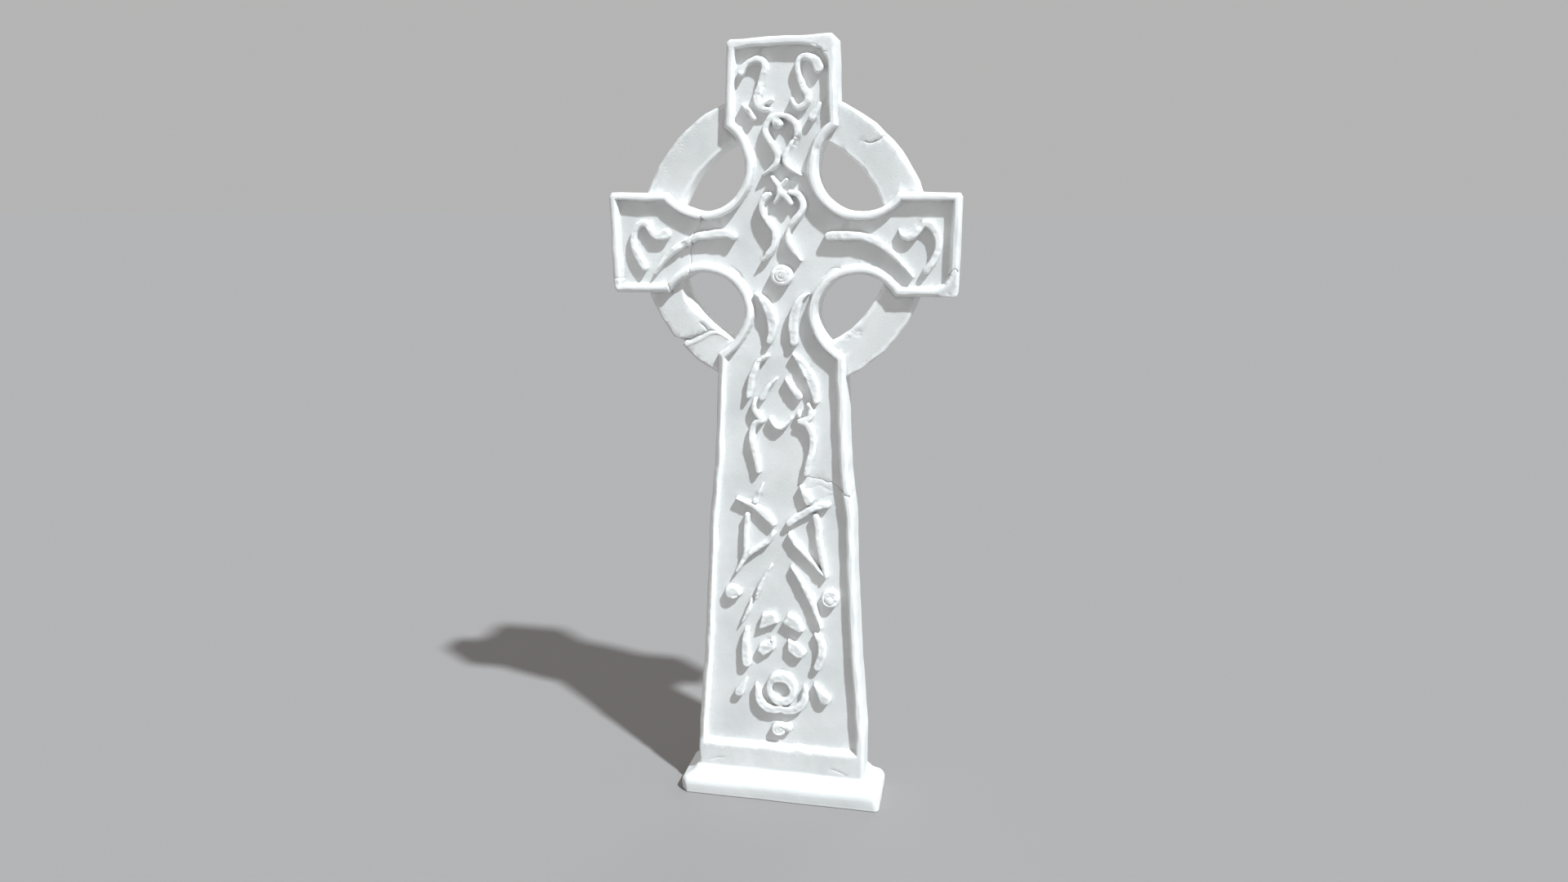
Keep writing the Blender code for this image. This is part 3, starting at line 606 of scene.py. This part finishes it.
def surfaceWear(x, z):  # how deep the front is cut by cracks, grooves and worn patches
    wear = np.zeros(x.shape, np.float32)

    def groove(line, halfWidths, depth, raggedness):
        area = windowAround(x, z, line, wearing["crackMargin"])
        px, pz = x[area], z[area]
        ragged = raggedness * (0.9 * ripple(px, pz, 17, 18) + 0.3 * ripple(px, pz, 7, 19))
        half = np.interp(np.linspace(0, 1, len(line)), np.linspace(0, 1, len(halfWidths)), halfWidths)
        inside = -distanceToLine(px + ragged, pz - ragged, line, half)
        wear[area] = np.maximum(wear[area], np.clip(wearing["crackSteepness"] * inside, 0, depth))

    for line, halfWidths, depth in cracks.values():
        groove(curveThrough(line, wearing["crackStep"]), halfWidths, depth, wearing["crackRaggedness"])
    for name, share, first, last in bossGrooves:
        cx, cz, across, up, _ = bosses[name]
        line = np.array(ovalArc(cx, cz, share * across, share * up, first, last, 18))
        groove(line, wearing["grooveWidths"], wearing["grooveDepth"], wearing["grooveRaggedness"])
    for cx, cz, across, up, depth in patches.values():
        area = windowAround(x, z, [(cx - across, cz - up), (cx + across, cz + up)], wearing["patchMargin"])
        px, pz = x[area], z[area]
        far = np.hypot((px - cx) / across, (pz - cz) / up) + 0.25 * ripple(px, pz, 16, 21)
        rough = 0.8 + 0.25 * ripple(px, pz, 12, 22) + 0.12 * ripple(px, pz, 6, 23)
        wear[area] += depth * np.clip(wearing["patchFade"] - wearing["patchFade"] * far, 0, 1) * rough
    for cx, cz, across, up, depth in grainy.values():
        area = windowAround(x, z, [(cx - across, cz - up), (cx + across, cz + up)], wearing["grainMargin"])
        px, pz = x[area], z[area]
        far = np.hypot((px - cx) / across, (pz - cz) / up)
        grain = np.clip(ripple(px, pz, wearing["grainSize"], 26), 0, 1)
        wear[area] += depth * np.clip(wearing["grainFade"] - wearing["grainFade"] * far, 0, 1) * grain
    for line, half, height in lips:
        area = windowAround(x, z, line, wearing["crackMargin"])
        far = distanceToLine(x[area], z[area], curveThrough(line, wearing["crackStep"]))
        wear[area] -= height * np.clip(1 - (far / half) ** 2, 0, 1)
    return wear


# Where the ring's front edges are worn wider or broken: angle and spread in degrees, how much wider
ringOuterWear = {
    "upperRight": (38, 30, 5.5),
    "lowerLeft": (225, 25, 2.0),
    "upperLeft": (140, 20, 2.0),
}
ringInnerWear = {
    "brokenLowerLeft": (212, 13, 13.0),
    "belowTheBreak": (234, 8, 4.0),
}


def shapeRing(x, z):  # the ring from the front, and how far its outer and inner edges are bevelled or broken
    radius = np.hypot(x, z - cross["ringHeight"])
    turn = np.arctan2(z - cross["ringHeight"], x)
    step = math.tau / cross["ringFacets"]
    facet = np.cos((turn + 0.3) % step - step / 2)  # the ring was cut in short flats, half rubbed away
    outer = radius * (0.4 + 0.6 * facet) - cross["ringOuter"] + 1.0 + 0.6 * ripple(x, z, 50, 13)
    inner = cross["ringInner"] - radius + 0.6 * ripple(x, z, 40, 14)

    def bump(middle, spread):  # 1 at an angle in degrees, 0 beyond the spread
        away = (np.degrees(turn) - middle + 180) % 360 - 180
        return np.clip(1 - (away / spread) ** 2, 0, 1)

    outerBevel = 3.0 + 1.2 * ripple(x, z, 45, 33)
    for middle, spread, wider in ringOuterWear.values():
        outerBevel = outerBevel + wider * bump(middle, spread)
    innerBevel = 1.5 + 2.5 * np.clip(ripple(x, z, 40, 34), 0, 2)
    for middle, spread, wider in ringInnerWear.values():
        innerBevel = innerBevel + wider * bump(middle, spread)
    return outer, inner, outerBevel, innerBevel


def shapeCross():
    cell = cross["cell"]
    low = np.array([side / mm - gridMargin for side in crossLow])
    high = np.array([side / mm + gridMargin for side in crossHigh])
    counts = np.ceil((high - low) / cell).astype(int)
    xs, ys, zs = [(low[i] + cell * np.arange(counts[i])).astype(np.float32) for i in range(3)]
    x, z = np.meshgrid(xs, zs, indexing="ij")
    print("cross: shaping on a grid of", *counts)

    outlinePoints = halfOutline(1) + list(reversed(halfOutline(-1)))
    outside = distanceToShape(x, z, outlinePoints)
    outside += 0.6 * ripple(x, z, 95, 3) + 0.25 * ripple(x, z, 30, 4)
    facesUp = np.clip(np.gradient(outside, cell, axis=1), 0, 1)
    wallSlope = cross["panelSlope"] - (cross["panelSlope"] - cross["squareSlope"]) * facesUp
    flare = np.clip(1 - (z - cross["foot"]) / cross["flareHeight"], 0, 1) ** 2
    outside -= cross["footFlare"] * flare
    rim = outside + cross["rimWidth"] + 0.8 * ripple(x, z, 75, 5) + 0.3 * ripple(x, z, 24, 6)
    for cx, cz, across, up, wider in widerRim.values():
        rim += wider * np.exp(-((x - cx) / across) ** 2 - ((z - cz) / up) ** 2)
    sillEdge = cross["sill"] + 2.2 * ripple(x, 0 * z, 42, 7) + 0.9 * ripple(x, 0 * z, 15, 17)
    strands, swelling = carvedStrands(x, z)
    strands = strands + cross["strandWorn"] + 0.35 * ripple(x, z, 26, 8) + 0.2 * ripple(x, z, 9, 10)
    strandTop = cross["reliefHeight"] - cross["reliefWorn"] + swelling
    strandTop = strandTop - 0.9 * ripple(x, z, 45, 11) - 0.4 * ripple(x, z, 14, 12)
    ringOuter, ringInner, outerBevel, innerBevel = shapeRing(x, z)
    ringFlat = np.maximum(ringOuter, ringInner)
    wear = surfaceWear(x, z)
    swell = 0.4 * ripple(x, z, 120, 15) + 0.2 * ripple(x, z, 35, 16)
    dip = np.clip((z - cross["dipFrom"]) / (cross["dipTo"] - cross["dipFrom"]), 0, 1)
    dipAcross = np.clip((cross["dipHalfWidth"] - np.abs(x)) / cross["dipFade"], 0, 1)
    dipAbove = np.clip((cross["dipTop"] - z) / cross["dipFade"], 0, 1)
    dip = cross["crossingDip"] * dip * dipAcross * dipAbove
    bevel = cross["edgeBevel"] + 0.9 * ripple(x, z, 60, 24) + 0.5 * ripple(x, z, 20, 25)
    onLeftShaft = np.clip((cross["leftShaftTo"] - z) / cross["bevelFade"], 0, 1)
    onLeftShaft = onLeftShaft * np.clip((z - cross["leftShaftFrom"]) / cross["bevelFade"], 0, 1) * (x < 0)
    bevel = bevel + (cross["leftShaftBevel"] - cross["edgeBevel"]) * onLeftShaft
    onHeadTop = np.clip((z - cross["headTopFrom"]) / cross["headTopFade"], 0, 1)
    bevel = bevel + (cross["headTopBevel"] - cross["edgeBevel"]) * onHeadTop
    half = cross["thickness"] / 2
    panelFloor = -half + cross["panelDepth"]
    backFloor = half - cross["backPanelDepth"]

    field = np.empty((len(xs), len(ys), len(zs)), np.float32)
    faceFlare = cross["footFlare"] * 0.6  # the foot flares less in front and behind than at the sides
    slant, wallSlant, sillSlant = cross["bevelSlant"], cross["wallSlant"], cross["sillSlant"]
    for row, y in enumerate(ys):
        # the slab with its rounded and bevelled edges
        front = -y - half + cross["allowance"] + swell - faceFlare * flare
        back = y - half + cross["allowance"] - swell - faceFlare * flare
        stone = roundedMax(roundedMax(outside, front, cross["edgeRound"]), back, cross["edgeRound"])
        stone = roundedMax(stone, slant * (outside + front + bevel), cross["bevelRound"])
        stone = roundedMax(stone, slant * (outside + back + cross["edgeBevel"]), cross["bevelRound"])
        stone = np.maximum(stone, cross["foot"] - cross["footSink"] - z)

        # the sunk panel in front
        depth = (y + half) / cross["panelDepth"]
        side = wallSlant * (rim + wallSlope * depth)
        bottom = sillSlant * (sillEdge + cross["sillSlope"] * depth - z)
        floor = y - panelFloor - dip + 0.6 * swell
        pocket = roundedMax(roundedMax(side, bottom, cross["panelCorner"]), floor, cross["floorRound"])
        stone = roundedMax(stone, -pocket, cross["crestRound"])

        # and the plainer one behind
        depth = (half - y) / cross["backPanelDepth"]
        side = wallSlant * (outside + cross["rimWidth"] + cross["panelSlope"] * depth)
        bottom = sillSlant * (cross["sill"] + cross["sillSlope"] * depth - z)
        floor = backFloor - y + 0.6 * swell
        pocket = roundedMax(roundedMax(side, bottom, cross["panelCorner"]), floor, cross["floorRound"])
        stone = roundedMax(stone, -pocket, cross["crestRound"])

        # strands, ring and wear
        if y < 0:
            top = panelFloor - strandTop
            leaning = strands - cross["strandLean"] * np.clip(y - top, 0, cross["strandDepth"])
            ridge = roundedMax(leaning, top - y, cross["strandRound"])
            stone = roundedMin(stone, ridge, cross["strandFoot"])
        ringFace = abs(y) - cross["ringThickness"] / 2 + 0.5 * swell
        ring = roundedMax(ringFlat, ringFace, cross["ringRound"])
        ring = np.maximum(ring, slant * (ringOuter + ringFace + outerBevel))
        if y < 0:
            ring = np.maximum(ring, slant * (ringInner + ringFace + innerBevel))
        stone = roundedMin(stone, ring, cross["ringSeam"])
        if y < cross["wearReach"]:
            stone = stone + wear
        field[:, row, :] = stone
    print("cross: strands, rims and ring laid out")

    for face, middle, reach in breaks.values():
        spans = [np.searchsorted(axis, [c - reach, c + reach]) for axis, c in zip((xs, ys, zs), middle)]
        area = np.s_[spans[0][0]:spans[0][1], spans[1][0]:spans[1][1], spans[2][0]:spans[2][1]]
        px, py, pz = np.meshgrid(xs[area[0]], ys[area[1]], zs[area[2]], indexing="ij")
        lost = planeThrough(*face, inside=(0, 0, 1300))(px, py, pz)
        lost = lost + 0.5 * ripple(px + py, pz - py, 22, 31) + 0.3 * ripple(px - py, pz, 8, 32)
        field[area] = roundedMax(field[area], lost, cross["breakRound"])

    piece = meshFromField("cross_stone", field, low, cell, cross["mostFaces"])
    applyModifiers(piece)
    easeStrays(piece)
    markHollowsAndEdges(piece, field, low, cell)
    return piece


# The plinth, in millimetres
plinth = {
    "cell": 1.5,
    "mostFaces": 40000,
    "halfWidth": 209,
    "halfDepth": 64,
    "faceHeight": 28,
    "seatHeight": 50,
    "seatHalfWidth": 180,
    "seatHalfDepth": 43,
    "hollow": 2.0,               # how far the sloping top dips between the seat and the edge
    "bulge": 0.8,                # how far the upright faces swell at mid height
    "allowance": 1.0,            # and start in from the full size, which leaves room for that
    "cornerCut": 6,
    "cornerSpread": 6,           # the corners are cut this much wider at the top of the faces
    "cornerRound": 4,
    "cutRound": 3,
    "edgeRound": 6,
    "bedRound": 1.2,
    "brokenCorner": [(-209, -46, 0), (-194, -64, 0), (-209, -51, 28)],   # three points of its face
    "brokenFrom": (-180, -30),   # nothing is lost further in than this
    "breakRound": 0.8,
}


def shapePlinth():
    cell = plinth["cell"]
    low = np.array([side / mm - gridMargin for side in plinthLow])
    high = np.array([side / mm + gridMargin for side in plinthHigh])
    counts = np.ceil((high - low) / cell).astype(int)
    x, y, z = np.meshgrid(*[low[i] + cell * np.arange(counts[i]) for i in range(3)], indexing="ij")
    print("plinth: shaping on a grid of", *counts)
    face, seat, edge = plinth["faceHeight"], plinth["seatHeight"], plinth["edgeRound"]
    bulge = plinth["bulge"] * np.clip(1 - ((z - face / 2) / (face / 2)) ** 2, 0, 1)
    endwise = np.abs(x) - plinth["halfWidth"]
    sidewise = np.abs(y) - plinth["halfDepth"]
    ends = endwise + plinth["allowance"] - bulge + 0.5 * ripple(y, z, 70, 41)
    sides = sidewise + plinth["allowance"] - bulge + 0.5 * ripple(x, z, 130, 43) + 0.12 * ripple(x, z, 40, 45)
    cut = plinth["cornerCut"] + plinth["cornerSpread"] * np.clip(z / face, 0, 1)
    stone = roundedMax(ends, sides, plinth["cornerRound"])
    stone = roundedMax(stone, cross["bevelSlant"] * (ends + sides + cut), plinth["cutRound"])
    rise = seat - face
    lean = np.clip((z - face) / rise, 0, 1)
    dip = plinth["hollow"] * np.sin(math.pi * lean)
    for across, run in ((endwise, plinth["halfWidth"] - plinth["seatHalfWidth"]),
                        (sidewise, plinth["halfDepth"] - plinth["seatHalfDepth"])):
        slope = (across * rise + (z - face) * run) / math.hypot(rise, run) + dip
        stone = roundedMax(stone, slope + 0.35 * ripple(x, y, 60, 44), edge)
    stone = np.maximum(stone, z - seat)
    stone = roundedMax(stone, -z, plinth["bedRound"])
    lost = planeThrough(*plinth["brokenCorner"], inside=(0, 0, 20))(x, y, z) + 0.4 * ripple(x, z, 12, 46)
    nearCorner = (x < plinth["brokenFrom"][0]) & (y < plinth["brokenFrom"][1])
    stone = roundedMax(stone, np.where(nearCorner, lost, -9), plinth["breakRound"])
    piece = meshFromField("plinth_stone", stone, low, cell, plinth["mostFaces"])
    applyModifiers(piece)
    easeStrays(piece)
    markHollowsAndEdges(piece, stone, low, cell)
    return piece


crossStone = shapeCross()
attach(crossStone, "root")
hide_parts("cross")
print("cross stone:", len(crossStone.data.polygons), "faces")

plinthStone = shapePlinth()
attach(plinthStone, "root")
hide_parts("plinth")
print("plinth stone:", len(plinthStone.data.polygons), "faces")


# Stone finishes

def linear(hexColour):  # sRGB hex to linear values
    values = [int(hexColour[i:i + 2], 16) / 255 for i in (1, 3, 5)]
    return [v / 12.92 if v <= 0.04045 else ((v + 0.055) / 1.055) ** 2.4 for v in values] + [1.0]


def addNode(tree, kind, settings=(), links=()):  # one node with its settings and what feeds its sockets
    node = tree.nodes.new("ShaderNode" + kind)
    for name, value in dict(settings).items():
        if isinstance(name, int) or name in node.inputs:
            node.inputs[name].default_value = value
        else:
            setattr(node, name, value)
    for name, source in dict(links).items():
        tree.links.new(source, node.inputs[name])
    return node


# Rubbed limestone: dense pale stone, carved with chisels and then rubbed smooth with grit. It gives the
# eye a matt near-white, faintly cloudy from its bedding, with fine grains, edges and raised tops painted pale
# as rubbed wear and painted highlight, and grey in the hollows that is dust and painted shade.
limestone = {
    "stone": "#E5E5E4",
    "cloud": "#D6D7D6",
    # grey of dust in the hollows and of painted shade there
    "dustAndShade": "#868685",
    # pale of rubbed edges and of painted highlight on edges and raised tops
    "rubbedAndHighlit": "#F8F9F8",
    "ior": 1.5,                  # calcite lies between 1.49 and 1.66
    "smoothest": 0.66,
    "roughest": 0.86,
    "cloudSize": 110 * mm,       # soft clouds of the bedding
    "stainSize": 22 * mm,
    "grainSize": 1.8 * mm,       # true grains are about 0.4 mm, drawn coarser so that they show
    "pockSize": 7 * mm,
    "dustAndShadeAmount": 0.7,
    "bumpHeight": 0.45 * mm,
}

# The plinth is the same stone painted a shade darker, as painted shade that keeps its sunlit top slope
# from burning white, with less of the rubbed pale and painted highlight, and less dust and painted shade
plinthShadedLimestone = {
    **limestone,
    # a shade darker than the cross's stone: painted shade for the plinth's sunlit top
    "stone": "#DFDFDE",
    "rubbedAndHighlit": "#E8E9E8",
    "dustAndShadeAmount": 0.5,
}


def limestoneWithPaintedLight(name, finish):
    material = bpy.data.materials.new(name)
    material.use_nodes = True
    tree = material.node_tree
    shader = tree.nodes["Principled BSDF"]
    shader.inputs["IOR"].default_value = finish["ior"]
    place = addNode(tree, "TexCoord").outputs["Object"]
    cloud = addNode(tree, "TexNoise", {"Scale": 1 / finish["cloudSize"], "Detail": 5.0, "Roughness": 0.55},
                    {"Vector": place})
    stain = addNode(tree, "TexNoise", {"Scale": 1 / finish["stainSize"], "Detail": 4.0}, {"Vector": place})
    grain = addNode(tree, "TexNoise", {"Scale": 1 / finish["grainSize"], "Detail": 2.0}, {"Vector": place})
    pock = addNode(tree, "TexVoronoi", {"Scale": 1 / finish["pockSize"]}, {"Vector": place})

    # the stone's own colour, from clear to cloudy
    clouds = addNode(tree, "MapRange", {"From Min": 0.38, "From Max": 0.66}, {"Value": cloud.outputs["Fac"]})
    body = addNode(tree, "Mix", {"data_type": 'RGBA', 6: linear(finish["stone"]), 7: linear(finish["cloud"])},
                   {"Factor": clouds.outputs["Result"]})

    # edges painted pale, partly rubbed wear and partly painted highlight, and whatever stands proud of the
    # panels a little less
    edge = addNode(tree, "Attribute", {"attribute_name": "edge"})
    proud = addNode(tree, "Attribute", {"attribute_name": "proud"})
    edges = addNode(tree, "MapRange", {"From Min": 0.12, "From Max": 0.6}, {"Value": edge.outputs["Fac"]})
    tops = addNode(tree, "MapRange", {"From Min": 0.06, "From Max": 0.3, "To Max": 0.7},
                   {"Value": proud.outputs["Fac"]})
    rubbedAndHighlit = addNode(tree, "Math", {"operation": 'MAXIMUM'},
                     {0: edges.outputs["Result"], 1: tops.outputs["Result"]})
    paler = addNode(tree, "Mix", {"data_type": 'RGBA', 7: linear(finish["rubbedAndHighlit"])},
                    {"Factor": rubbedAndHighlit.outputs["Value"], 6: body.outputs[2]})

    # dust and painted shade in the hollows, heavier where the stains are
    hollow = addNode(tree, "Attribute", {"attribute_name": "hollow"})
    settledAndShaded = addNode(tree, "MapRange", {"From Min": 0.25, "From Max": 0.95, "To Max": finish["dustAndShadeAmount"]},
                      {"Value": hollow.outputs["Fac"]})
    uneven = addNode(tree, "MapRange", {"From Min": 0.3, "From Max": 0.7, "To Min": 0.55, "To Max": 1.1},
                     {"Value": stain.outputs["Fac"]})
    dustyAndShaded = addNode(tree, "Math", {"operation": 'MULTIPLY'},
                    {0: settledAndShaded.outputs["Result"], 1: uneven.outputs["Result"]})
    finished = addNode(tree, "Mix", {"data_type": 'RGBA', 7: linear(finish["dustAndShade"])},
                       {"Factor": dustyAndShaded.outputs["Value"], 6: paler.outputs[2]})
    tree.links.new(finished.outputs[2], shader.inputs["Base Color"])

    # rubbed edges shine a little more than the grainy flats
    matt = addNode(tree, "MapRange", {"To Min": finish["roughest"], "To Max": finish["smoothest"]},
                   {"Value": rubbedAndHighlit.outputs["Value"]})
    tree.links.new(matt.outputs["Result"], shader.inputs["Roughness"])

    # grains stand up, and small pocks are sunk
    sunk = addNode(tree, "MapRange", {"From Min": 0.05, "From Max": 0.22, "To Min": -1.2, "To Max": 0.0},
                   {"Value": pock.outputs["Distance"]})
    relief = addNode(tree, "Math", {"operation": 'ADD'}, {0: grain.outputs["Fac"], 1: sunk.outputs["Result"]})
    bump = addNode(tree, "Bump", {"Strength": 0.5, "Distance": finish["bumpHeight"]},
                   {"Height": relief.outputs["Value"]})
    tree.links.new(bump.outputs["Normal"], shader.inputs["Normal"])
    return material


crossFinish = limestoneWithPaintedLight("limestone_with_painted_light", limestone)
plinthFinish = limestoneWithPaintedLight("limestone_plinth_with_painted_light", plinthShadedLimestone)
for piece, finish in ((crossStone, crossFinish), (plinthStone, plinthFinish)):
    piece.data.materials.clear()
    piece.data.materials.append(finish)
    piece.data.shade_smooth()
print("limestone finish on")


# Floor, light and camera

studio = {
    "floorColour": "#93908F",
    "floorSize": 200,            # metres, so that its far edge melts into the sky
    "skyColour": "#BEBDBD",
    "skyStrength": 0.9,
    "keyTowards": (0.48, -0.36, 0.80),   # from the stone to the lamp
    "keyStrength": 4.65,
    "keyColour": "#EFF8FD",
    "keySoftness": 2.2,          # degrees across, as the shadow's edge shows it
    "fillTowards": (0.20, 0.85, 0.48),
    "fillStrength": 0.5,
    "fillColour": "#FFFFFF",
    "fillSoftness": 40,
    "cameraPlace": (0.4015, -2.0013, 1.2097),
    "cameraDown": 12.70,         # degrees below level
    "cameraTurn": 11.33,         # degrees to the left of straight ahead
    "lens": 24.44,               # millimetres, as is the sensor
    "sensor": 36,
}

floorMesh = bpy.data.meshes.new("studio_floor")
reach = studio["floorSize"] / 2
floorCorners = [(-reach, -reach, 0), (reach, -reach, 0), (reach, reach, 0), (-reach, reach, 0)]
floorMesh.from_pydata(floorCorners, [], [(0, 1, 2, 3)])
floorSheet = bpy.data.objects.new("studio_floor", floorMesh)
bpy.context.scene.collection.objects.link(floorSheet)
floorFinish = bpy.data.materials.new("matt_studio_floor")
floorFinish.use_nodes = True
floorShader = floorFinish.node_tree.nodes["Principled BSDF"]
floorShader.inputs["Base Color"].default_value = linear(studio["floorColour"])
floorShader.inputs["Roughness"].default_value = 1.0
floorShader.inputs["Specular IOR Level"].default_value = 0.0
floorMesh.materials.append(floorFinish)

world = bpy.data.worlds.new("studio")
bpy.context.scene.world = world
world.use_nodes = True
world.node_tree.nodes["Background"].inputs["Color"].default_value = linear(studio["skyColour"])
world.node_tree.nodes["Background"].inputs["Strength"].default_value = studio["skyStrength"]

for name in ("key", "fill"):
    lamp = bpy.data.lights.new(name + "_light", 'SUN')
    lamp.energy = studio[name + "Strength"]
    lamp.color = linear(studio[name + "Colour"])[:3]
    lamp.angle = math.radians(studio[name + "Softness"])
    lampObject = bpy.data.objects.new(name + "_light", lamp)
    lampObject.rotation_euler = Vector(studio[name + "Towards"]).to_track_quat('Z', 'Y').to_euler()
    bpy.context.scene.collection.objects.link(lampObject)

camera = bpy.data.cameras.new("camera")
camera.sensor_width = studio["sensor"]
camera.lens = studio["lens"]
cameraObject = bpy.data.objects.new("camera", camera)
cameraObject.location = studio["cameraPlace"]
cameraObject.rotation_euler = (math.radians(90 - studio["cameraDown"]), 0, math.radians(studio["cameraTurn"]))
bpy.context.scene.collection.objects.link(cameraObject)
bpy.context.scene.camera = cameraObject
bpy.context.scene.view_settings.view_transform = 'Standard'
print("floor, light and camera set")
